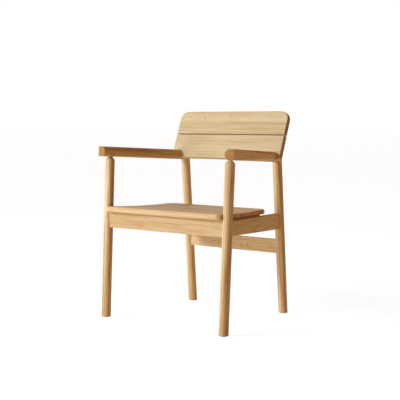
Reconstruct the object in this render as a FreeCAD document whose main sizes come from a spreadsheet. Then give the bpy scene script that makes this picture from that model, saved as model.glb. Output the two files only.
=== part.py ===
import FreeCAD, Part
import math
import os

import Sketcher

# A dining armchair of oak.  Four round legs carry plank rails, a glued-up dished seat,
# two half-round arms and a leaning back of two boards.
#
# Frame: millimetres, +Z up, the sitter faces -Y and the sitter's left is +X.
# The origin is on the floor in the middle of the footprint.
# Pieces on the +X side are built; those on the -X side are their mirror images.

SIZES = {
    # legs
    "leg_diameter": 36.0,
    "front_foot_x": 277.6,
    "front_foot_y": -236.5,
    "front_top_x": 280.8,
    "front_top_y": -204.0,
    "shoulder_height": 600.0,
    "shoulder_taper": 11.5,
    "neck_diameter": 17.0,
    "neck_length": 10.0,
    "arm_tenon_diameter": 10.0,
    "arm_tenon_length": 13.0,
    "rear_leg_x": 222.6,
    "rear_foot_y": 236.5,
    "rear_leg_lean": 4.734,
    "bend_above_back_foot": 26.0,
    "bend_radius": 70.0,
    "rear_leg_set_back": 9.2,
    "rear_leg_top_below_back": 38.0,
    "rear_leg_end_round": 5.0,
    # glides under the feet
    "glide_diameter": 24.0,
    "glide_height": 2.0,
    "glide_stem_diameter": 4.0,
    "glide_stem_length": 18.0,
    # rails
    "front_rail_thickness": 21.0,
    "front_rail_height": 61.0,
    "side_rail_thickness": 20.0,
    "side_rail_proud": 6.5,
    "side_rail_front_gap": 4.5,
    "side_rail_rear_gap": 11.0,
    "side_rail_front_height": 53.7,
    "side_rail_rear_height": 61.5,
    "side_rail_top_dip": 0.4,
    "rear_rail_thickness": 18.0,
    "rear_rail_drop": 114.1,
    "rear_rail_height": 54.5,
    "rail_edge_round": 3.0,
    # tenons, all in one piece with their rails
    "tenon_thickness": 9.0,
    "tenon_depth": 22.0,
    "tenon_end_gap": 1.0,
    "front_tenon_height": 25.0,
    "front_tenon_drop": 8.0,
    "side_front_tenon_height": 20.0,
    "side_front_tenon_rise": 3.0,
    "side_rear_tenon_height": 36.0,
    "side_rear_tenon_drop": 6.5,
    "rear_tenon_height": 36.0,
    # seat
    "seat_lip_overhang": 31.2,
    "seat_depth": 349.0,
    "seat_front_inset": 5.8,
    "seat_rear_inset": 11.3,
    "seat_underside": 405.0,
    "seat_tilt": 0.9,
    "seat_thickness": 21.0,
    "seat_hollow_depth": 5.8,
    "seat_hollow_start": 14.5,
    "seat_hollow_low": 200.5,
    "seat_front_corner": 24.0,
    "seat_rear_corner": 26.0,
    "seat_top_round": 8.0,
    "seat_bottom_round": 4.5,
    "seat_notch_clearance": 3.0,
    "stave_count": 10,
    # cleats that carry the seat inside the side rails
    "cleat_thickness": 18.0,
    "cleat_height": 24.0,
    "cleat_set_back": 49.0,
    "cleat_length": 232.0,
    "cleat_screw_inset": 24.0,
    "cleat_screw_drop": 16.5,
    # back
    "back_foot_height": 602.0,
    "back_lean": 21.1,
    "back_past_legs": 36.9,
    "board_thickness": 21.0,
    "lower_board_height": 98.6,
    "upper_board_height": 94.5,
    "board_gap": 3.6,
    "back_top_corner": 35.0,
    "back_bottom_corner": 12.0,
    "board_edge_round": 3.5,
    # arms
    "arm_height": 38.4,
    "arm_inner_half_width": 19.0,
    "arm_outer_half_width": 18.4,
    "arm_front_outset": 17.4,
    "arm_front_overhang": 28.8,
    "arm_front_rise": 32.7,
    "arm_rear_outset": 3.0,
    "arm_rear_behind_face": 11.8,
    "arm_rear_rise": 9.5,
    "arm_inner_round": 18.9,
    "arm_outer_round_front": 3.0,
    "arm_outer_round_rear": 15.0,
    "arm_end_round": 1.5,
    "arm_cope_depth": 7.0,
    # screws and the plugs over them
    "screw_diameter": 4.5,
    "screw_head_diameter": 9.0,
    "screw_head_height": 3.0,
    "plug_depth": 8.0,
    "back_screw_bite": 13.0,
    "lower_screw_first": 52.0,
    "lower_screw_second": 84.0,
    "upper_screw_first": 15.0,
    "upper_screw_second": 40.0,
    "arm_screw_diameter": 6.0,
    "arm_screw_head_diameter": 11.0,
    "arm_screw_bite": 42.0,
    "seat_screw_length": 32.0,
    "rail_screw_length": 30.0,
}

doc = FreeCAD.newDocument("armchair")
sheet = doc.addObject("Spreadsheet::Sheet", "Sizes")


def set_size(alias, value):
    """Adds one named number to the end of the sheet."""
    set_size.row += 1
    sheet.set(f"A{set_size.row}", alias)
    sheet.set(f"B{set_size.row}", str(value))
    sheet.setAlias(f"B{set_size.row}", alias)


set_size.row = 0
for alias, value in SIZES.items():
    set_size(alias, value)
doc.recompute()

nodes = []
EDGE = 400.0        # how far a trimming block reaches past the piece that it trims
X_AXIS = FreeCAD.Vector(1, 0, 0)
Y_AXIS = FreeCAD.Vector(0, 1, 0)
Z_AXIS = FreeCAD.Vector(0, 0, 1)


def size(alias):
    """The value of one cell of the sheet, in millimetres or degrees."""
    return float(sheet.get(alias))


def frame_at(origin, z_axis, x_axis=X_AXIS):
    """A placement with its Z along z_axis and its X as near to x_axis as it can be."""
    turn = FreeCAD.Rotation(x_axis, FreeCAD.Vector(), z_axis, "ZXY")
    return FreeCAD.Placement(origin, turn)


def bind(piece, **expressions):
    """Ties properties of a piece to expressions on the sheet."""
    for name, expression in expressions.items():
        piece.setExpression(name, str(expression))


def cylinder(name, radius, height, placement):
    piece = doc.addObject("Part::Cylinder", name)
    bind(piece, Radius=radius, Height=height)
    piece.Placement = placement
    return piece


def cone(name, radius_1, radius_2, height, placement):
    piece = doc.addObject("Part::Cone", name)
    bind(piece, Radius1=radius_1, Radius2=radius_2, Height=height)
    piece.Placement = placement
    return piece


def block(name, length, width, height, placement, centred=(0, 0, 0)):
    """A box; centred says for X, Y and Z how much of its size lies before the placement."""
    piece = doc.addObject("Part::Box", name)
    bind(piece, Length=length, Width=width, Height=height)
    doc.recompute()
    shift = FreeCAD.Vector(
        -centred[0] * piece.Length.Value,
        -centred[1] * piece.Width.Value,
        -centred[2] * piece.Height.Value,
    )
    piece.Placement = placement.multiply(FreeCAD.Placement(shift, FreeCAD.Rotation()))
    return piece


def fused(name, pieces):
    piece = doc.addObject("Part::MultiFuse", name)
    piece.Shapes = pieces
    return piece


def grouped(name, pieces):
    piece = doc.addObject("Part::Compound", name)
    piece.Links = pieces
    return piece


def cut(name, base, tools):
    piece = doc.addObject("Part::Cut", name)
    piece.Base = base
    piece.Tool = tools[0] if len(tools) == 1 else grouped(name + "_cutters", tools)
    return piece


def common(name, base, tool):
    piece = doc.addObject("Part::Common", name)
    piece.Base = base
    piece.Tool = tool
    return piece


def mirrored(name, source):
    """The same piece on the other side of the chair."""
    piece = doc.addObject("Part::Mirroring", name)
    piece.Source = source
    piece.Base = FreeCAD.Vector(0, 0, 0)
    piece.Normal = X_AXIS
    return piece


def node(label, piece):
    """Marks a piece as one to be written, under its label."""
    piece.Label = label
    nodes.append(piece)
    return piece


def pair(label, left):
    """A piece on the sitter's left and its mirror image on the right."""
    node(label + "_left", left)
    return node(label + "_right", mirrored(label + "_mirror", left))


def new_body(name, placement=FreeCAD.Placement()):
    body = doc.addObject("PartDesign::Body", name)
    body.Placement = placement
    return body


def new_sketch(body, role, name):
    """A sketch on one of the body's own origin planes."""
    sketch = body.newObject("Sketcher::SketchObject", name)
    plane = next(item for item in body.Origin.OriginFeatures if item.Role == role)
    sketch.AttachmentSupport = [(plane, "")]
    sketch.MapMode = "FlatFace"
    return sketch


def fix_point(sketch, geometry, vertex, across, along):
    """Holds one point of a sketch at two expressions, measured from its origin."""
    for kind, expression in (("DistanceX", across), ("DistanceY", along)):
        value = float(sketch.evalExpression(str(expression)))
        index = sketch.addConstraint(Sketcher.Constraint(kind, -1, 1, geometry, vertex, value))
        sketch.setExpression(f"Constraints[{index}]", str(expression))


def draw_polygon(sketch, corners):
    """A closed outline of straight lines whose corners are pairs of expressions."""
    points = []
    for across, along in corners:
        x = float(sketch.evalExpression(str(across)))
        y = float(sketch.evalExpression(str(along)))
        points.append(FreeCAD.Vector(x, y, 0))
    count = len(points)
    for index in range(count):
        sketch.addGeometry(Part.LineSegment(points[index], points[(index + 1) % count]))
    for index in range(count):
        following = (index + 1) % count
        sketch.addConstraint(Sketcher.Constraint("Coincident", index, 2, following, 1))
    for index, (across, along) in enumerate(corners):
        fix_point(sketch, index, 1, across, along)


def pad(body, sketch, name, length, midplane=False):
    feature = body.newObject("PartDesign::Pad", name)
    feature.Profile = sketch
    feature.SideType = "Symmetric" if midplane else "One side"
    bind(feature, Length=length)
    doc.recompute()
    return feature


def edge_names(shape, test):
    """Names of the edges of a shape that pass a test."""
    names = []
    for index, edge in enumerate(shape.Edges, start=1):
        if test(edge):
            names.append(f"Edge{index}")
    return names


def rounded(body, name, radius, test):
    """Rounds the edges of the body's last feature that pass a test."""
    doc.recompute()
    base = body.Tip
    names = edge_names(base.Shape, test)
    feature = body.newObject("PartDesign::Fillet", name)
    feature.Base = (base, names)
    bind(feature, Radius=radius)
    doc.recompute()
    return feature


def is_line_along(direction):
    """A test for straight edges along one direction of a body's own frame."""
    def test(edge):
        if edge.Curve.TypeId != "Part::GeomLine":
            return False
        return abs(abs(edge.Curve.Direction.dot(direction)) - 1) < 1e-6
    return test


# ---------------------------------------------------------------- places worked out from sizes

front_foot = FreeCAD.Vector(size("front_foot_x"), size("front_foot_y"), 0)
front_top = FreeCAD.Vector(size("front_top_x"), size("front_top_y"), size("shoulder_height"))
front_axis = (front_top - front_foot).normalize()

rear_lean = math.radians(size("rear_leg_lean"))
rear_foot = FreeCAD.Vector(size("rear_leg_x"), size("rear_foot_y"), 0)
rear_axis = FreeCAD.Vector(0, -math.sin(rear_lean), math.cos(rear_lean))
bend_height = size("back_foot_height") + size("bend_above_back_foot")
rear_bend = rear_foot + rear_axis * (bend_height / rear_axis.z)

# The back leans along the upper legs, which lie a set-back behind the boards' rear faces.
back_lean = math.radians(size("back_lean"))
back_up = FreeCAD.Vector(0, math.sin(back_lean), math.cos(back_lean))
back_normal = FreeCAD.Vector(0, -math.cos(back_lean), math.sin(back_lean))
back_offset = size("rear_leg_set_back") + size("board_thickness")
back_foot_behind = (back_offset + size("bend_above_back_foot") * back_up.y) / back_up.z
back_foot = FreeCAD.Vector(0, rear_bend.y - back_foot_behind, size("back_foot_height"))
back_height = size("lower_board_height") + size("board_gap") + size("upper_board_height")


def on_axis(foot, axis, height):
    """The point of a leg's axis at a height above the floor."""
    return foot + axis * (height / axis.z)


def on_back(across, up, behind):
    """A point given by its place across, up and behind the back's front face."""
    return back_foot + X_AXIS * across + back_up * up - back_normal * behind


def front_leg_at(height):
    return on_axis(front_foot, front_axis, height)


def rear_leg_at(height):
    return on_axis(rear_foot, rear_axis, height)


# Every rail runs between leg axes taken at the height of its own middle.
front_rail_top = size("seat_underside")
front_rail_end = front_leg_at(front_rail_top - size("front_rail_height") / 2)
rear_rail_top = size("seat_underside") - size("rear_rail_drop")
rear_rail_end = rear_leg_at(rear_rail_top - size("rear_rail_height") / 2)
side_front_top = size("seat_underside") - size("side_rail_front_gap")
side_rear_top = size("seat_underside") - size("side_rail_rear_gap")
side_front_bottom = side_front_top - size("side_rail_front_height")
side_rear_bottom = side_rear_top - size("side_rail_rear_height")
side_front_end = front_leg_at((side_front_bottom + side_front_top) / 2)
side_rear_end = rear_leg_at((side_rear_bottom + side_rear_top) / 2)
side_run = FreeCAD.Vector(side_rear_end.x - side_front_end.x, side_rear_end.y - side_front_end.y, 0)
side_length = side_run.Length
side_direction = side_run.normalize()
side_outward = side_direction.cross(Z_AXIS)
side_centre_offset = size("side_rail_proud") - size("side_rail_thickness") / 2

# The seat's outline follows the legs in front and the side rails behind.
seat_front_y = front_rail_end.y - size("seat_lip_overhang")
seat_rear_y = seat_front_y + size("seat_depth")
rail_share = (seat_rear_y - side_front_end.y) / side_direction.y
rail_face = side_front_end + side_outward * size("side_rail_proud") + side_direction * rail_share

# Sizes that follow from the others go on the sheet too, for the sketches to use.
set_size("back_half_width", size("rear_leg_x") + size("back_past_legs"))
set_size("front_leg_run", (front_top - front_foot).Length)
set_size("rear_rail_bottom", rear_rail_top - size("rear_rail_height"))
set_size("front_rail_half_length", front_rail_end.x)
set_size("rear_rail_half_length", rear_rail_end.x)
set_size("side_rail_length", side_length)
set_size("seat_front_half_width", front_leg_at(front_rail_top).x - size("seat_front_inset"))
set_size("seat_rear_half_width", rail_face.x - size("seat_rear_inset"))
doc.recompute()

# ---------------------------------------------------------------- blanks of the legs

# The front leg is turned: a straight cylinder, a tapered shoulder, a neck that the arm sits on
# and a tenon that goes up into the arm.
FRONT_LEG_RUN = "Sizes.front_leg_run"
LEG_RADIUS = "Sizes.leg_diameter / 2"
NECK_RADIUS = "Sizes.neck_diameter / 2"
ARM_TENON_RADIUS = "Sizes.arm_tenon_diameter / 2"
NECK_START = f"{FRONT_LEG_RUN} + Sizes.shoulder_taper"
NECK_END = f"{NECK_START} + Sizes.neck_length"
ARM_TENON_END = f"{NECK_END} + Sizes.arm_tenon_length"

front_leg_frame = frame_at(front_foot, front_axis)
front_leg_body = new_body("front_leg_blank", front_leg_frame)
front_leg_sketch = new_sketch(front_leg_body, "XZ_Plane", "front_leg_profile")
draw_polygon(front_leg_sketch, [
    (0, "-Sizes.leg_diameter"),
    (LEG_RADIUS, "-Sizes.leg_diameter"),
    (LEG_RADIUS, FRONT_LEG_RUN),
    (NECK_RADIUS, NECK_START),
    (NECK_RADIUS, NECK_END),
    (ARM_TENON_RADIUS, NECK_END),
    (ARM_TENON_RADIUS, ARM_TENON_END),
    (0, ARM_TENON_END),
])
front_leg_turning = front_leg_body.newObject("PartDesign::Revolution", "front_leg_turning")
front_leg_turning.Profile = front_leg_sketch
front_leg_turning.ReferenceAxis = (front_leg_sketch, ["V_Axis"])
front_leg_turning.Angle = 360.0
doc.recompute()

# The rear leg is one round bar, straight to the bend and then leaning with the back.
rear_tip_up = back_height - size("rear_leg_top_below_back")
rear_lean_total = back_lean + rear_lean
rear_tip_height = on_back(0, rear_tip_up, size("board_thickness")).z
rear_upper_run = (rear_tip_height - rear_bend.z) / back_up.z
rear_tangent = size("bend_radius") * math.tan(rear_lean_total / 2)
rear_bend_start = rear_bend - rear_axis * rear_tangent
rear_bend_end = rear_bend + back_up * rear_tangent
rear_bend_middle_direction = (back_up - rear_axis).normalize()
rear_bend_centre = rear_bend + rear_bend_middle_direction * (
    size("bend_radius") / math.cos(rear_lean_total / 2)
)
rear_bend_middle = rear_bend_centre - rear_bend_middle_direction * size("bend_radius")
rear_start = rear_foot - rear_axis * size("leg_diameter")
rear_tip = rear_bend + back_up * rear_upper_run

rear_path = Part.Wire([
    Part.LineSegment(rear_start, rear_bend_start).toShape(),
    Part.Arc(rear_bend_start, rear_bend_middle, rear_bend_end).toShape(),
    Part.LineSegment(rear_bend_end, rear_tip).toShape(),
])
rear_section = Part.Wire(Part.makeCircle(size("leg_diameter") / 2, rear_start, rear_axis))
rear_bar = rear_path.makePipeShell([rear_section], True, False)
rear_tip_edges = [edge for edge in rear_bar.Edges if (edge.CenterOfMass - rear_tip).Length < 1]
rear_leg_blank = doc.addObject("Part::Feature", "rear_leg_blank")
rear_leg_blank.Shape = rear_bar.makeFillet(size("rear_leg_end_round"), rear_tip_edges[:1])

front_leg_blank_right = mirrored("front_leg_blank_right", front_leg_body)
rear_leg_blank_right = mirrored("rear_leg_blank_right", rear_leg_blank)
doc.recompute()

# ---------------------------------------------------------------- rails and their tenons


def tenon_and_mortise(name, root, direction, height, base_z):
    """A flat tenon that runs along direction past root, a point on the leg's axis.

    The tenon starts well inside its rail and ends the tenon's depth inside the leg's
    surface; its mortise is a little deeper.
    """
    across = Z_AXIS.cross(direction)
    start = FreeCAD.Vector(root.x, root.y, base_z) - direction * size("leg_diameter")
    place = FreeCAD.Placement(start, FreeCAD.Rotation(direction, across, Z_AXIS, "XYZ"))
    run = "Sizes.leg_diameter / 2 + Sizes.tenon_depth"
    thickness = "Sizes.tenon_thickness"
    tenon = block(f"{name}_tenon", run, thickness, height, place, (0, 0.5, 0))
    mortise_run = f"{run} + Sizes.tenon_end_gap"
    mortise = block(f"{name}_mortise", mortise_run, thickness, height, place, (0, 0.5, 0))
    return tenon, mortise


def long_edges(edge):
    """Straight edges longer than any end edge of a rail."""
    return edge.Curve.TypeId == "Part::GeomLine" and edge.Length > 3 * size("leg_diameter")


def cross_rail_plank(name, centre_y, half_length, bottom, top, thickness):
    """The plank of a rail that runs between two legs, from axis to axis."""
    place = FreeCAD.Placement(FreeCAD.Vector(0, centre_y, 0), FreeCAD.Rotation())
    body = new_body(name, place)
    sketch = new_sketch(body, "YZ_Plane", name + "_section")
    draw_polygon(sketch, [
        (f"-{thickness} / 2", bottom),
        (f"{thickness} / 2", bottom),
        (f"{thickness} / 2", top),
        (f"-{thickness} / 2", top),
    ])
    pad(body, sketch, name + "_length", f"2 * {half_length}", midplane=True)
    rounded(body, name + "_edges", "Sizes.rail_edge_round", long_edges)
    return body


front_rail_plank = cross_rail_plank(
    "front_rail_plank", front_rail_end.y, "Sizes.front_rail_half_length",
    "Sizes.seat_underside - Sizes.front_rail_height", "Sizes.seat_underside",
    "Sizes.front_rail_thickness",
)
rear_rail_plank = cross_rail_plank(
    "rear_rail_plank", rear_rail_end.y, "Sizes.rear_rail_half_length",
    "Sizes.rear_rail_bottom", "Sizes.rear_rail_bottom + Sizes.rear_rail_height",
    "Sizes.rear_rail_thickness",
)

# The side rail's outline lies in its own upright plane: X along the rail, Y up.
side_origin = FreeCAD.Vector(side_front_end.x, side_front_end.y, 0) + side_outward * side_centre_offset
side_frame = FreeCAD.Placement(
    side_origin, FreeCAD.Rotation(side_direction, side_direction.cross(Z_AXIS), Z_AXIS, "XZY")
)
side_rail_body = new_body("side_rail_plank", side_frame)
side_rail_sketch = new_sketch(side_rail_body, "XZ_Plane", "side_rail_outline")
SIDE_FRONT_TOP = "Sizes.seat_underside - Sizes.side_rail_front_gap"
SIDE_REAR_TOP = "Sizes.seat_underside - Sizes.side_rail_rear_gap"
SIDE_MIDDLE_TOP = f"({SIDE_FRONT_TOP} + {SIDE_REAR_TOP}) / 2 - Sizes.side_rail_top_dip"
draw_polygon(side_rail_sketch, [
    (0, f"{SIDE_FRONT_TOP} - Sizes.side_rail_front_height"),
    ("Sizes.side_rail_length", f"{SIDE_REAR_TOP} - Sizes.side_rail_rear_height"),
    ("Sizes.side_rail_length", SIDE_REAR_TOP),
    ("Sizes.side_rail_length / 2", SIDE_MIDDLE_TOP),
    (0, SIDE_FRONT_TOP),
])
pad(side_rail_body, side_rail_sketch, "side_rail_length", "Sizes.side_rail_thickness", midplane=True)
rounded(side_rail_body, "side_rail_edges", "Sizes.rail_edge_round", long_edges)

front_tenon, front_mortise = tenon_and_mortise(
    "front_rail", front_rail_end, X_AXIS, "Sizes.front_tenon_height",
    front_rail_top - size("front_tenon_drop") - size("front_tenon_height"),
)
rear_tenon, rear_mortise = tenon_and_mortise(
    "rear_rail", rear_rail_end, X_AXIS, "Sizes.rear_tenon_height",
    rear_rail_end.z - size("rear_tenon_height") / 2,
)
side_shift = side_outward * side_centre_offset
side_front_tenon, side_front_mortise = tenon_and_mortise(
    "side_rail_front", side_front_end + side_shift, side_direction * -1,
    "Sizes.side_front_tenon_height",
    side_front_bottom + size("side_front_tenon_rise"),
)
side_rear_tenon, side_rear_mortise = tenon_and_mortise(
    "side_rail_rear", side_rear_end + side_shift, side_direction,
    "Sizes.side_rear_tenon_height",
    side_rear_top - size("side_rear_tenon_drop") - size("side_rear_tenon_height"),
)

# The seat slopes down towards the back from its front edge; the rail and cleats under it are
# planed to its underside.
seat_place = FreeCAD.Placement(
    FreeCAD.Vector(0, seat_front_y, size("seat_underside")),
    FreeCAD.Rotation(X_AXIS, -size("seat_tilt")),
)
over_underside = block(
    "space_over_seat_underside", 4 * EDGE, 4 * EDGE, EDGE, seat_place, (0.5, 0.5, 0)
)

node("front_rail", fused("front_rail_piece", [
    cut("front_rail_coped", front_rail_plank, [
        front_leg_body, front_leg_blank_right, over_underside,
    ]),
    front_tenon, mirrored("front_rail_tenon_right", front_tenon),
]))
node("rear_rail", fused("rear_rail_piece", [
    cut("rear_rail_coped", rear_rail_plank, [rear_leg_blank, rear_leg_blank_right]),
    rear_tenon, mirrored("rear_rail_tenon_right", rear_tenon),
]))
side_rail_whole = fused("side_rail_whole", [
    cut("side_rail_coped", side_rail_body, [
        front_leg_body, rear_leg_blank, front_rail_plank, rear_rail_plank,
    ]),
    side_front_tenon, side_rear_tenon,
])

# ---------------------------------------------------------------- the back's frame and screws

back_place = FreeCAD.Placement(back_foot, FreeCAD.Rotation(X_AXIS, back_up, back_normal, "YXZ"))


def back_frame(across, up, behind, towards=1):
    """A placement on the back with its Z square to the boards, forwards or backwards."""
    origin = on_back(across, up, behind)
    return frame_at(origin, back_normal * towards)


SCREW_RADIUS = "Sizes.screw_diameter / 2"
SCREW_HEAD_RADIUS = "Sizes.screw_head_diameter / 2"
ARM_SCREW_RADIUS = "Sizes.arm_screw_diameter / 2"
ARM_SCREW_HEAD_RADIUS = "Sizes.arm_screw_head_diameter / 2"


def screw(name, place, length, radius, head_radius):
    """A countersunk screw that points along its placement's Z, its head's face at the origin."""
    head = cone(f"{name}_head", head_radius, radius, "Sizes.screw_head_height", place)
    shank = cylinder(f"{name}_shank", radius, length, place)
    return fused(name, [head, shank])


# Screws go through the flattened part of the rear leg into each board, under short plugs.
leg_back_depth = size("rear_leg_set_back") + size("leg_diameter") / 2
screw_head_behind = size("board_thickness") + leg_back_depth - size("plug_depth")
back_screw_length = screw_head_behind - size("board_thickness") + size("back_screw_bite")
upper_board_start = size("lower_board_height") + size("board_gap")
back_screw_places = {
    "lower_first": size("lower_screw_first"),
    "lower_second": size("lower_screw_second"),
    "upper_first": upper_board_start + size("upper_screw_first"),
    "upper_second": upper_board_start + size("upper_screw_second"),
}
back_screws = []
back_plug_rods = []
for place_name, up in back_screw_places.items():
    place = back_frame(size("rear_leg_x"), up, screw_head_behind)
    name = f"back_screw_{place_name}"
    back_screws.append(screw(name, place, back_screw_length, SCREW_RADIUS, SCREW_HEAD_RADIUS))
    outward = back_frame(size("rear_leg_x"), up, screw_head_behind, towards=-1)
    rod = cylinder(f"back_plug_{place_name}", SCREW_HEAD_RADIUS, "2 * Sizes.plug_depth", outward)
    back_plug_rods.append(rod)
back_screws_left = grouped("back_screws_one_side", back_screws)
back_plugs_left = common(
    "back_plugs_one_side", grouped("back_plug_rods", back_plug_rods), rear_leg_blank
)

# The arm runs from just ahead of the front leg's top to the front of the rear leg.
arm_front = front_top + FreeCAD.Vector(
    size("arm_front_outset"), -size("arm_front_overhang"), size("arm_front_rise")
)
arm_rear = FreeCAD.Vector(
    size("rear_leg_x") + size("arm_rear_outset"), back_foot.y + size("arm_rear_behind_face"),
    back_foot.z + size("arm_rear_rise"),
)
arm_span = arm_rear - arm_front
arm_axis = FreeCAD.Vector(arm_span).normalize()

# The arm is a bar, half round on its inner side; its outer side is flat with tight corners in
# front, which grow rounder towards the back.
set_size("arm_length", arm_span.Length + size("arm_height"))
doc.recompute()
arm_body = new_body("arm_blank", frame_at(arm_front, arm_axis))
arm_sketch = new_sketch(arm_body, "XY_Plane", "arm_section")
draw_polygon(arm_sketch, [
    ("-Sizes.arm_inner_half_width", "-Sizes.arm_height / 2"),
    ("Sizes.arm_outer_half_width", "-Sizes.arm_height / 2"),
    ("Sizes.arm_outer_half_width", "Sizes.arm_height / 2"),
    ("-Sizes.arm_inner_half_width", "Sizes.arm_height / 2"),
])
pad(arm_body, arm_sketch, "arm_run", "Sizes.arm_length")
arm_bar = doc.addObject("Part::Fillet", "arm_bar")
arm_bar.Base = arm_body
arm_rounds = []
for index, edge in enumerate(arm_body.Shape.Edges, start=1):
    if edge.Length < size("arm_length") - 1:
        arm_rounds.append((index, size("arm_end_round"), size("arm_end_round")))
    elif edge.CenterOfMass.x < arm_body.Shape.CenterOfMass.x:
        arm_rounds.append((index, size("arm_inner_round"), size("arm_inner_round")))
    else:
        arm_rounds.append((index, size("arm_outer_round_front"), size("arm_outer_round_rear")))
arm_bar.Edges = arm_rounds
doc.recompute()

# One long screw on each side goes through the rear leg into the arm's end.
arm_screw_leg = rear_leg_at(arm_rear.z)
arm_screw_start = arm_screw_leg + Y_AXIS * (size("leg_diameter") / 2 - size("plug_depth"))
arm_screw_length = size("leg_diameter") - size("plug_depth") + size("arm_screw_bite")
arm_screw_left = screw(
    "arm_screw_one_side", frame_at(arm_screw_start, Y_AXIS * -1), arm_screw_length,
    ARM_SCREW_RADIUS, ARM_SCREW_HEAD_RADIUS,
)
arm_plug_left = common(
    "arm_plug_one_side",
    cylinder("arm_plug_rod", ARM_SCREW_HEAD_RADIUS, "2 * Sizes.plug_depth",
             frame_at(arm_screw_start, Y_AXIS)),
    rear_leg_blank,
)

# ---------------------------------------------------------------- back boards


def board(name, start, height_name, corner_name, corners_at_top):
    """One board of the back: a rounded plank in the back's own frame."""
    body = new_body(name + "_plank", back_place)
    sketch = new_sketch(body, "XY_Plane", name + "_outline")
    end = f"{start} + Sizes.{height_name}"
    draw_polygon(sketch, [
        ("-Sizes.back_half_width", start),
        ("Sizes.back_half_width", start),
        ("Sizes.back_half_width", end),
        ("-Sizes.back_half_width", end),
    ])
    feature = pad(body, sketch, name + "_thickness", "Sizes.board_thickness")
    feature.Reversed = True
    doc.recompute()
    corner_line = is_line_along(Z_AXIS)
    wanted = float(sketch.evalExpression(str(end if corners_at_top else start)))

    def is_corner(edge):
        return corner_line(edge) and abs(edge.CenterOfMass.y - wanted) < 0.01

    rounded(body, name + "_corners", f"Sizes.{corner_name}", is_corner)

    def is_face_edge(edge):
        low, high = edge.BoundBox.ZMin, edge.BoundBox.ZMax
        return high - low < 0.01

    rounded(body, name + "_edges", "Sizes.board_edge_round", is_face_edge)
    return body


lower_board_blank = board("lower_board", "0", "lower_board_height", "back_bottom_corner", False)
upper_board_blank = board(
    "upper_board", "Sizes.lower_board_height + Sizes.board_gap", "upper_board_height",
    "back_top_corner", True,
)
all_back_screws = [back_screws_left, mirrored("back_screws_other_side", back_screws_left)]
all_arm_screws = [arm_screw_left, mirrored("arm_screw_other_side", arm_screw_left)]

# The arms pass through notches in the lower board's bottom edge.
node("back_board_lower", cut(
    "lower_board", lower_board_blank,
    all_back_screws + [arm_bar, mirrored("arm_bar_other_side", arm_bar)],
))
node("back_board_upper", cut("upper_board", upper_board_blank, all_back_screws))
node("back_screws", grouped("back_screws_all", all_back_screws))
node("back_screw_plugs", grouped(
    "back_plugs_all", [back_plugs_left, mirrored("back_plugs_other_side", back_plugs_left)]
))
node("arm_screws", grouped("arm_screws_all", all_arm_screws))
node("arm_screw_plugs", grouped(
    "arm_plugs_all", [arm_plug_left, mirrored("arm_plug_other_side", arm_plug_left)]
))

# The rear leg is flat where the boards lie against it.
before_rear_face = block(
    "space_before_rear_face", EDGE, EDGE, EDGE,
    back_place.multiply(FreeCAD.Placement(
        FreeCAD.Vector(size("rear_leg_x"), 0, -size("board_thickness")), FreeCAD.Rotation()
    )),
    (0.5, 0, 0),
)
rear_leg_flattened = cut("rear_leg_flattened", rear_leg_blank, [before_rear_face])

# ---------------------------------------------------------------- arms

arm_stop_y = arm_screw_leg.y - size("leg_diameter") / 2 + size("arm_cope_depth")
arm_stop = block(
    "space_past_arm", EDGE, EDGE, EDGE,
    FreeCAD.Placement(FreeCAD.Vector(arm_rear.x, arm_stop_y, arm_rear.z), FreeCAD.Rotation()),
    (0.5, 0, 0.5),
)
pair("arm", cut("arm_piece", arm_bar, [
    front_leg_body, arm_stop, rear_leg_flattened, arm_screw_left,
]))

# ---------------------------------------------------------------- glides and finished legs


def glide(name, foot, axis):
    """A round pad under a foot, held by a stem that goes up into the leg."""
    centre = foot + axis * (size("glide_height") / axis.z)
    floor_point = FreeCAD.Placement(FreeCAD.Vector(centre.x, centre.y, 0), FreeCAD.Rotation())
    disc = cylinder(f"{name}_disc", "Sizes.glide_diameter / 2", "Sizes.glide_height", floor_point)
    stem = cylinder(
        f"{name}_stem", "Sizes.glide_stem_diameter / 2",
        "Sizes.glide_height + Sizes.glide_stem_length", floor_point,
    )
    return fused(name, [disc, stem])


under_feet = block(
    "space_under_feet", 4 * EDGE, 4 * EDGE, EDGE,
    FreeCAD.Placement(FreeCAD.Vector(0, 0, size("glide_height")), FreeCAD.Rotation()),
    (0.5, 0.5, 1),
)
front_glide = glide("front_glide", front_foot, front_axis)
rear_glide = glide("rear_glide", rear_foot, rear_axis)
pair("glide_front", front_glide)
pair("glide_rear", rear_glide)
pair("front_leg", cut("front_leg", front_leg_body, [
    under_feet, front_glide, front_mortise, side_front_mortise,
]))
pair("rear_leg", cut("rear_leg", rear_leg_flattened, [
    under_feet, rear_glide, rear_mortise, side_rear_mortise,
    back_screws_left, back_plugs_left, arm_screw_left, arm_plug_left,
]))

# ---------------------------------------------------------------- seat

# The seat is glued up from staves that run from side to side, then shaped as one:
# a rounded outline, a top hollowed along one long arc, and softened edges.
seat_body = new_body("seat_blank", seat_place)
seat_sketch = new_sketch(seat_body, "XY_Plane", "seat_outline")
draw_polygon(seat_sketch, [
    ("-Sizes.seat_front_half_width", 0),
    ("Sizes.seat_front_half_width", 0),
    ("Sizes.seat_rear_half_width", "Sizes.seat_depth"),
    ("-Sizes.seat_rear_half_width", "Sizes.seat_depth"),
])
pad(seat_body, seat_sketch, "seat_thickness", "Sizes.seat_thickness")


def is_seat_corner(at_front):
    upright = is_line_along(Z_AXIS)

    def test(edge):
        return upright(edge) and (edge.CenterOfMass.y < size("seat_depth") / 2) == at_front
    return test


rounded(seat_body, "seat_front_corners", "Sizes.seat_front_corner", is_seat_corner(True))
rounded(seat_body, "seat_rear_corners", "Sizes.seat_rear_corner", is_seat_corner(False))
rounded(
    seat_body, "seat_bottom_edge", "Sizes.seat_bottom_round",
    lambda edge: edge.BoundBox.ZMax < 0.01,
)

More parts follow.
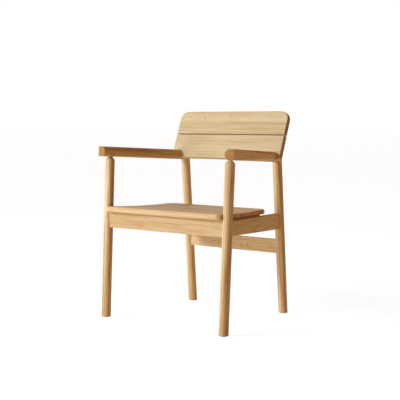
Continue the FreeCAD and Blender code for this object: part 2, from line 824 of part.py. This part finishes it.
# The hollow is part of a long cylinder lying across the seat.
hollow_reach = size("seat_hollow_low") - size("seat_hollow_start")
hollow_depth = size("seat_hollow_depth")
hollow_floor = size("seat_thickness") - hollow_depth
hollow_curve = (hollow_reach ** 2 + hollow_depth ** 2) / (2 * hollow_depth)
hollow_centre = FreeCAD.Vector(-EDGE, size("seat_hollow_low"), hollow_floor + hollow_curve)
seat_hollow = cylinder(
    "seat_hollow", hollow_curve, 2 * EDGE,
    seat_place.multiply(frame_at(hollow_centre, X_AXIS, Y_AXIS)),
)
seat_hollowed = cut("seat_hollowed", seat_body, [seat_hollow])
doc.recompute()


def is_seat_top_edge(edge):
    box = edge.transformed(seat_place.inverse().toMatrix()).BoundBox
    start = size("seat_hollow_start")
    across_lip = abs(box.YMax - start) < 1 and abs(box.YMin - start) < 1
    return box.ZMin > hollow_floor - 0.01 and not across_lip


seat_rounded = doc.addObject("Part::Fillet", "seat_rounded")
seat_rounded.Base = seat_hollowed
top_radius = size("seat_top_round")
seat_rounded.Edges = [
    (index, top_radius, top_radius)
    for index, edge in enumerate(seat_hollowed.Shape.Edges, start=1)
    if is_seat_top_edge(edge)
]
doc.recompute()

# The front corners are notched round the front legs with a small gap.
notch = cylinder(
    "seat_notch", "Sizes.leg_diameter / 2 + Sizes.seat_notch_clearance",
    "Sizes.shoulder_height", front_leg_frame,
)
seat_notched = cut("seat_notched", seat_rounded, [notch, mirrored("seat_notch_right", notch)])

# ---------------------------------------------------------------- cleats and their screws

inner_face = side_origin - side_outward * (size("side_rail_thickness") / 2)
cleat_start = FreeCAD.Vector(inner_face.x, inner_face.y, size("seat_underside"))
cleat_start = cleat_start + side_direction * size("cleat_set_back")
cleat_frame = FreeCAD.Placement(
    cleat_start, FreeCAD.Rotation(side_direction, side_outward * -1, Z_AXIS, "XZY")
)
cleat_bar = block(
    "cleat_bar", "Sizes.cleat_length", "Sizes.cleat_thickness", "Sizes.cleat_height",
    cleat_frame, (0, 0, 1),
)
cleat_spacing = (size("cleat_length") - 2 * size("cleat_screw_inset")) / 4
seat_screws = []
rail_screws = []
for index in range(5):
    along = size("cleat_screw_inset") + index * cleat_spacing
    spot = cleat_start + side_direction * along
    if index % 2 == 0:
        head = spot - side_outward * (size("cleat_thickness") / 2) - Z_AXIS * size("cleat_height")
        name = f"seat_screw_{index}"
        seat_screws.append(screw(
            name, frame_at(head, Z_AXIS), "Sizes.seat_screw_length", SCREW_RADIUS, SCREW_HEAD_RADIUS
        ))
    else:
        head = spot - side_outward * size("cleat_thickness") - Z_AXIS * size("cleat_screw_drop")
        name = f"rail_screw_{index}"
        rail_screws.append(screw(
            name, frame_at(head, side_outward), "Sizes.rail_screw_length",
            SCREW_RADIUS, SCREW_HEAD_RADIUS,
        ))
seat_screws_left = grouped("seat_screws_one_side", seat_screws)
rail_screws_left = grouped("rail_screws_one_side", rail_screws)
seat_screws_right = mirrored("seat_screws_other_side", seat_screws_left)
rail_screws_right = mirrored("rail_screws_other_side", rail_screws_left)
pair("seat_cleat", cut("seat_cleat", cleat_bar, [
    seat_screws_left, rail_screws_left, over_underside,
]))
pair("side_rail", cut("side_rail", side_rail_whole, [rail_screws_left]))
node("seat_screws", grouped("seat_screws_all", [seat_screws_left, seat_screws_right]))
node("cleat_screws", grouped("rail_screws_all", [rail_screws_left, rail_screws_right]))

seat_drilled = cut("seat_drilled", seat_notched, [seat_screws_left, seat_screws_right])
stave_count = int(size("stave_count"))
stave_width = size("seat_depth") / stave_count
for index in range(stave_count):
    start = FreeCAD.Placement(FreeCAD.Vector(0, index * stave_width, 0), FreeCAD.Rotation())
    slab = block(
        f"stave_slab_{index + 1}", "4 * Sizes.seat_front_half_width",
        "Sizes.seat_depth / Sizes.stave_count",
        "4 * Sizes.seat_thickness",
        seat_place.multiply(start), (0.5, 0, 0.5),
    )
    node(f"seat_stave_{index + 1:02d}", common(f"stave_{index + 1:02d}", seat_drilled, slab))

# ---------------------------------------------------------------- checking and writing

doc.recompute()
for item in doc.Objects:
    if "Invalid" in item.State or "Error" in item.State:
        raise RuntimeError(f"{item.Name} did not build: {item.State}")
for item in nodes:
    if item.Shape.isNull() or not item.Shape.isValid():
        raise RuntimeError(f"{item.Label} has no valid shape")
    if not item.Shape.Solids:
        raise RuntimeError(f"{item.Label} has no solid")

os.makedirs("parts", exist_ok=True)
for item in nodes:
    item.Shape.exportStep(f"parts/{item.Label}.step")
    print(item.Label, len(item.Shape.Solids), round(item.Shape.Volume / 1000, 2))
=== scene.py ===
import math

import bpy
from mathutils import Euler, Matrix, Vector


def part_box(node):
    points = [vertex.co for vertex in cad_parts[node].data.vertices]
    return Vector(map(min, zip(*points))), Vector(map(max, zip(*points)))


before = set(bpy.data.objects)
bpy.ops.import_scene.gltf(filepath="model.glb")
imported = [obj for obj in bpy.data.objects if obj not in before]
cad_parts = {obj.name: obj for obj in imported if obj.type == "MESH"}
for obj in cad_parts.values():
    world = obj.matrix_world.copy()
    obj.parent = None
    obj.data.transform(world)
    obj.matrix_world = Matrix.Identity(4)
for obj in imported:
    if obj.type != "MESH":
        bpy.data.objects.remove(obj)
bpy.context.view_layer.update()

MM = 0.001


def rgb(hex_colour):
    """An sRGB hex colour as linear red, green, blue and alpha."""
    values = []
    for start in (1, 3, 5):
        share = int(hex_colour[start:start + 2], 16) / 255
        values.append(share / 12.92 if share <= 0.04045 else ((share + 0.055) / 1.055) ** 2.4)
    return (*values, 1.0)


def add(tree, kind, links=None, output=None, **settings):
    """Adds a node and gives its named output, or the first in use; links are its inputs."""
    item = tree.nodes.new(kind)
    for name, value in settings.items():
        setattr(item, name, value)
    for socket, source in (links or {}).items():
        if hasattr(source, "is_output"):
            tree.links.new(source, item.inputs[socket])
        else:
            item.inputs[socket].default_value = source
    return next(o for o in item.outputs if (o.name == output if output else o.enabled))


def coordinates(tree, name):
    """One output of the tree's texture-coordinate node, which is made once."""
    found = [n for n in tree.nodes if n.type == "TEX_COORD"]
    node = found[0] if found else tree.nodes.new("ShaderNodeTexCoord")
    return node.outputs[name]


def ranged(tree, value, low, high, start=0.0, end=1.0):
    """Start where the value is low, end where it is high, and smooth between."""
    links = {"Value": value, "From Min": low, "From Max": high, "To Min": start, "To Max": end}
    return add(tree, "ShaderNodeMapRange", links, interpolation_type="SMOOTHSTEP")


def mixed(tree, share, first, second, blend="MIX"):
    """The first colour where the share is 0, its blend with the second where it is 1."""
    links = {0: share, 6: first, 7: second}
    return add(tree, "ShaderNodeMix", links, data_type="RGBA", blend_type=blend)


def noise(tree, place, scale, detail=2.0, roughness=0.5):
    """Noise of a size given along X, Y and Z, in cycles to a metre."""
    stretched = add(tree, "ShaderNodeMapping", {"Vector": place, "Scale": scale})
    links = {"Vector": stretched, "Scale": 1.0, "Detail": detail, "Roughness": roughness}
    return add(tree, "ShaderNodeTexNoise", links)


def new_material(name):
    """A material, its node tree and its shader."""
    material = bpy.data.materials.new(name)
    material.use_nodes = True
    tree = material.node_tree
    shader = next(n for n in tree.nodes if n.type == "BSDF_PRINCIPLED")
    return material, tree, shader


def oiled_oak(name, centre, along, seed, heart, tone, contrast, end_tone, knots):
    """Oak with an oil finish.

    The grain runs along one direction, in rings about a heart that lies beside the piece, so
    that flat faces show long lines and cut ends show arcs. Pale wood between darker late wood
    gives the stripes, stretched pores the fine dashes, and cut ends soak up oil and go browner.
    Each knot is a place on the piece and a radius.
    """
    material, tree, shader = new_material(name)
    turn = Vector(along).to_track_quat("X", "Z").to_euler()
    place = add(tree, "ShaderNodeMapping", {
        "Vector": coordinates(tree, "Object"), "Location": centre, "Rotation": turn,
    }, vector_type="TEXTURE")
    shifted = add(tree, "ShaderNodeVectorMath", {0: place, 1: (seed * 1.37, seed * 0.71, 0)})

    # Growth rings
    about_heart = add(tree, "ShaderNodeVectorMath", {0: place, 1: (seed * 1.37, *heart)})
    squeezed = add(tree, "ShaderNodeMapping", {"Vector": about_heart, "Scale": (0.08, 1, 1)})
    rings = add(tree, "ShaderNodeTexWave", {
        "Vector": squeezed, "Scale": 62.0, "Distortion": 3.2, "Detail": 2.0,
        "Detail Scale": 0.45, "Detail Roughness": 0.55,
    }, output="Fac", wave_type="RINGS", rings_direction="X", wave_profile="SIN")
    late_wood = ranged(tree, rings, 0.45, 1.0)

    # Slow changes of tone, fibres and pores
    tone_noise = noise(tree, shifted, (1.6, 22, 22), 3.0, 0.6)
    fibres = noise(tree, shifted, (7, 260, 260), 3.0, 0.6)
    pores = noise(tree, shifted, (40, 1500, 1500), 1.0)
    slow = ranged(tree, tone_noise, 0.32, 0.7)
    base = mixed(tree, slow, rgb("#C6A976"), rgb("#E8DABC"))
    base = mixed(tree, 0.85 - contrast, base, rgb(tone))
    ring_share = add(tree, "ShaderNodeMath", {0: late_wood, 1: contrast}, operation="MULTIPLY")
    base = mixed(tree, ring_share, base, rgb("#D3A86C"), "MULTIPLY")
    fibre_share = ranged(tree, fibres, 0.48, 0.75, 0.0, contrast * 1.6)
    base = mixed(tree, fibre_share, base, rgb("#CC9F64"), "MULTIPLY")
    pore_share = ranged(tree, pores, 0.6, 0.72, 0.0, 0.35)
    base = mixed(tree, pore_share, base, rgb("#8F6236"))

    # Cut ends
    facing = add(tree, "ShaderNodeVectorMath", {
        0: coordinates(tree, "Normal"), 1: Vector(along).normalized(),
    }, output="Value", operation="DOT_PRODUCT")
    facing = add(tree, "ShaderNodeMath", {0: facing}, operation="ABSOLUTE")
    cut_end = ranged(tree, facing, 0.75, 0.97, 0.0, 0.85)
    base = mixed(tree, cut_end, base, rgb(end_tone), "MULTIPLY")

    for *spot, radius in knots:
        away = add(tree, "ShaderNodeVectorMath", {
            0: coordinates(tree, "Object"), 1: spot,
        }, output="Value", operation="DISTANCE")
        knot_share = ranged(tree, away, radius * 0.3, radius, 0.42, 0.0)
        base = mixed(tree, knot_share, base, rgb("#7E4A24"))

    tree.links.new(base, shader.inputs["Base Color"])
    tree.links.new(ranged(tree, fibres, 0.3, 0.8, 0.5, 0.66), shader.inputs["Roughness"])
    relief = add(tree, "ShaderNodeBump", {"Height": fibres, "Distance": 0.0004, "Strength": 0.25})
    tree.links.new(relief, shader.inputs["Normal"])
    shader.inputs["Specular IOR Level"].default_value = 0.28
    return material


def zinc_plated_steel():
    """Screws: grey metal, brushed a little unevenly."""
    material, tree, shader = new_material("zinc_plated_steel")
    blotches = noise(tree, coordinates(tree, "Object"), (900, 900, 900))
    tree.links.new(ranged(tree, blotches, 0.3, 0.7, 0.25, 0.45), shader.inputs["Roughness"])
    shader.inputs["Base Color"].default_value = rgb("#B9BBBC")
    shader.inputs["Metallic"].default_value = 1.0
    return material


def moulded_nylon():
    """Glides: dull brown plastic with a fine moulded texture."""
    material, tree, shader = new_material("moulded_nylon")
    grains = noise(tree, coordinates(tree, "Object"), (2500, 2500, 2500))
    relief = add(tree, "ShaderNodeBump", {"Height": grains, "Distance": 0.0002, "Strength": 0.3})
    tree.links.new(relief, shader.inputs["Normal"])
    shader.inputs["Base Color"].default_value = rgb("#7A6650")
    shader.inputs["Roughness"].default_value = 0.6
    return material


def cover(name, material):
    """Shows a piece with this material only."""
    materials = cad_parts[name].data.materials
    materials.clear()
    materials.append(material)


# Which way the grain runs in each kind of piece, the usual tone of cut ends, and the knots,
# each a place and a radius in metres.
FRONT_LEG_RUN = (0.0053, 0.0541, 0.9985)
REAR_LEG_RUN = (0.0, -0.0825, 0.9966)
ARM_RUN = (-0.170, 0.984, -0.050)
SIDE_RAIL_RUN = (-0.1314, 0.9913, 0.0)
ACROSS = (1.0, 0.0, 0.0)
END = "#C49B5C"
RAIL_KNOTS = ((0.074, 0.206, 0.259, 0.008), (0.046, 0.206, 0.253, 0.007))
BOARD_KNOTS = ((-0.130, 0.202, 0.756, 0.006), (-0.010, 0.206, 0.766, 0.005),
               (-0.209, 0.204, 0.761, 0.005))
LEG_KNOTS = ((0.218, 0.199, 0.253, 0.006),)

# Each piece of wood: its grain's direction, where its heart lies, its tone, how strongly its
# grain shows, the tone of its cut ends and its knots.
woods = {
    "front_rail": (ACROSS, (0.02, 0.10), "#C2A677", 0.4, END, ()),
    # The rear rail's tone is paler than its wood's own: painted light that stands in for light
    # reaching it under the seat.
    "rear_rail": (ACROSS, (-0.02, -0.11), "#F4E2B8", 0.42, END, RAIL_KNOTS),
    "back_board_lower": (ACROSS, (0.16, 0.05), "#D6C8A3", 0.24, END, ()),
    "back_board_upper": (ACROSS, (-0.14, 0.03), "#D6C8A3", 0.24, END, BOARD_KNOTS),
    "arm_left": (ARM_RUN, (0.03, -0.02), "#D9B884", 0.4, END, ()),
    "arm_right": (ARM_RUN, (-0.03, 0.02), "#D9B884", 0.4, END, ()),
    "front_leg_left": (FRONT_LEG_RUN, (0.03, 0.02), "#DECCA2", 0.62, END, ()),
    "front_leg_right": (FRONT_LEG_RUN, (-0.02, 0.04), "#DECCA2", 0.62, END, ()),
    "rear_leg_left": (REAR_LEG_RUN, (0.03, -0.03), "#E2D0A5", 0.5, END, LEG_KNOTS),
    "rear_leg_right": (REAR_LEG_RUN, (-0.03, -0.02), "#E2D0A5", 0.5, END, ()),
    "side_rail_left": (SIDE_RAIL_RUN, (0.06, -0.07), "#D5BC8D", 0.4, END, ()),
    "side_rail_right": (SIDE_RAIL_RUN, (0.05, 0.08), "#D5BC8D", 0.4, END, ()),
    "seat_cleat_left": (SIDE_RAIL_RUN, (0.05, 0.04), "#CFB583", 0.3, END, ()),
    "seat_cleat_right": (SIDE_RAIL_RUN, (0.05, -0.04), "#CFB583", 0.3, END, ()),
    "back_screw_plugs": ((0.0, 0.933, -0.36), (0.01, 0.01), "#CAAC79", 0.3, END, ()),
    "arm_screw_plugs": ((0.0, 1.0, 0.0), (0.01, 0.01), "#CAAC79", 0.3, END, ()),
}
stave_tones = ("#DAB681", "#D8B27B", "#E1BD88", "#DCB680", "#E2BD87",
               "#D9B27B", "#E4C08C", "#DBB57F", "#E0BC87", "#D7AF78")
stave_end_tones = ("#FFF8EA", "#DDB98A")
for number, stave_tone in enumerate(stave_tones, start=1):
    heart = (0.05 * (-1) ** number, 0.05 + 0.012 * number)
    end_tone = stave_end_tones[number % 2]
    woods[f"seat_stave_{number:02d}"] = (ACROSS, heart, stave_tone, 0.3, end_tone, ())

for seed, (name, (along, *look)) in enumerate(woods.items(), start=1):
    if name.endswith("_right"):
        along = (-along[0], along[1], along[2])
    lowest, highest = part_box(name)
    centre = (lowest + highest) / 2
    cover(name, oiled_oak(f"oiled_oak_{name}", centre, along, seed, *look))

steel = zinc_plated_steel()
nylon = moulded_nylon()
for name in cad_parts:
    if name not in woods:
        cover(name, nylon if name.startswith("glide") else steel)

# Floor: white paper on a light table. It lights the chair only through reflections.
FLOOR_WIDTH = 80
bpy.ops.mesh.primitive_plane_add(size=FLOOR_WIDTH)
floor = bpy.context.object
floor.name = "floor"
floor.visible_diffuse = False
paper, paper_tree, paper_shader = new_material("white_paper")
paper_shader.inputs["Base Color"].default_value = (0.5, 0.5, 0.5, 1)
paper_shader.inputs["Roughness"].default_value = 0.9
paper_shader.inputs["Emission Color"].default_value = (0.94, 0.97, 1.0, 1)
paper_shader.inputs["Emission Strength"].default_value = 0.84
floor.data.materials.append(paper)

# Room: white walls on the left, warm dim ones on the right, a dim ceiling and a warm floor.
world = bpy.context.scene.world or bpy.data.worlds.new("studio")
bpy.context.scene.world = world
world.use_nodes = True
sky = world.node_tree
background = next(n for n in sky.nodes if n.type == "BACKGROUND")
direction = add(sky, "ShaderNodeSeparateXYZ", {"Vector": coordinates(sky, "Generated")}).node
toward = direction.outputs
leftness = ranged(sky, toward["X"], 0.25, -0.35)
rearness = ranged(sky, toward["Y"], -0.4, 0.3)
left_wall = mixed(sky, rearness, (0.62, 0.62, 0.62, 1), (1.04, 1.04, 1.04, 1))
walls = mixed(sky, leftness, (0.34, 0.17, 0.04, 1), left_wall)
ceiling_share = ranged(sky, toward["Z"], 0.18, 0.8)
walls = mixed(sky, ceiling_share, walls, (0.42, 0.36, 0.29, 1), "MULTIPLY")
ground = mixed(sky, leftness, (0.64, 0.38, 0.13, 1), (0.98, 0.82, 0.57, 1))
room = mixed(sky, ranged(sky, toward["Z"], -0.3, -0.05), ground, walls)
sky.links.new(room, background.inputs["Color"])
background.inputs["Strength"].default_value = 1.0


def softbox(name, place, target, size, watts):
    """A rectangular lamp that faces its target."""
    data = bpy.data.lights.new(name, "AREA")
    data.shape = "RECTANGLE"
    data.size, data.size_y = size
    data.energy = watts
    lamp = bpy.data.objects.new(name, data)
    bpy.context.collection.objects.link(lamp)
    lamp.location = place
    lamp.rotation_euler = (Vector(target) - Vector(place)).to_track_quat("-Z", "Y").to_euler()


softbox("key_softbox", (-1.9, -2.9, 1.9), (0, 0, 0.45), (0.8, 0.8), 88)
softbox("low_softbox", (-1.3, -2.6, 0.3), (0, 0.2, 0.3), (0.8, 0.3), 18)

# Camera: just below the top of the back, to the front and the sitter's left.
CAMERA_PLACE = (2210.5, -2909.6, 750.9)
CAMERA_DOWN = 4.76
CAMERA_TURN = 37.29
camera_data = bpy.data.cameras.new("camera")
camera_data.sensor_width = 36.0
camera_data.lens = 86.45
camera = bpy.data.objects.new("camera", camera_data)
bpy.context.collection.objects.link(camera)
camera.location = Vector(CAMERA_PLACE) * MM
camera.rotation_euler = Euler((math.radians(90 - CAMERA_DOWN), 0, math.radians(CAMERA_TURN)))
bpy.context.scene.camera = camera
bpy.context.scene.view_settings.view_transform = "Standard"
